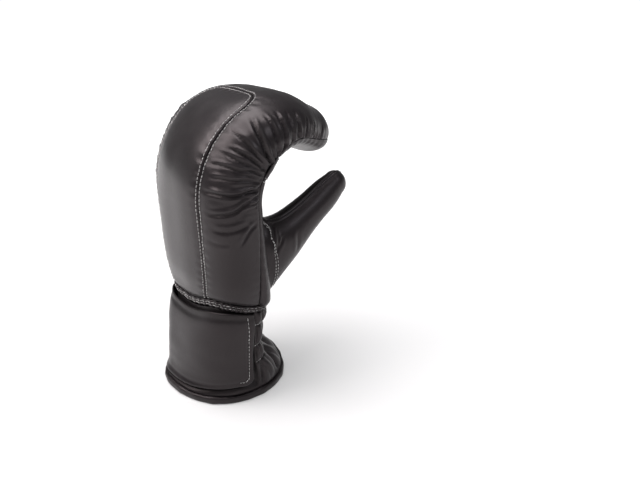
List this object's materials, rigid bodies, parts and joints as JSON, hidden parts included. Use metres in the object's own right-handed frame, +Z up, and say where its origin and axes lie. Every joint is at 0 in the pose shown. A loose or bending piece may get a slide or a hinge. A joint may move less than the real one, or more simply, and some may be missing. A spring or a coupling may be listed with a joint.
{
  "type": "bag glove",
  "caption": "Left-hand bag glove standing on its cuff: padded curled fist, closed thumb, U-shaped back panel, gathered elastic wrist, bare cuff plate and bound hem.",
  "frame": {"origin": "on the floor under the middle of the glove's bounding box", "axes": "+X the way the palm faces, -Y the thumb side, +Z up from the hem to the curled fist"},
  "size_m": [0.1707, 0.1493, 0.2538],
  "materials": {
    "padded_leather": "satin black, smooth fine grain over foam padding",
    "palm_leather": "satin black, slightly creased",
    "gathered_leather": "satin black, gathered over elastic",
    "binding": "matt black, folded edge tape"
  },
  "bodies": {
    "root": {"back_panel": "padded_leather", "fist_panel": "padded_leather", "palm_panel": "palm_leather", "grip_band": "palm_leather", "finger_panel": "palm_leather", "thumb": "palm_leather", "wrist_binding": "binding", "wrist_sleeve": "gathered_leather", "cuff_plate": "padded_leather", "hem_binding": "binding"}
  },
  "joints": []
}
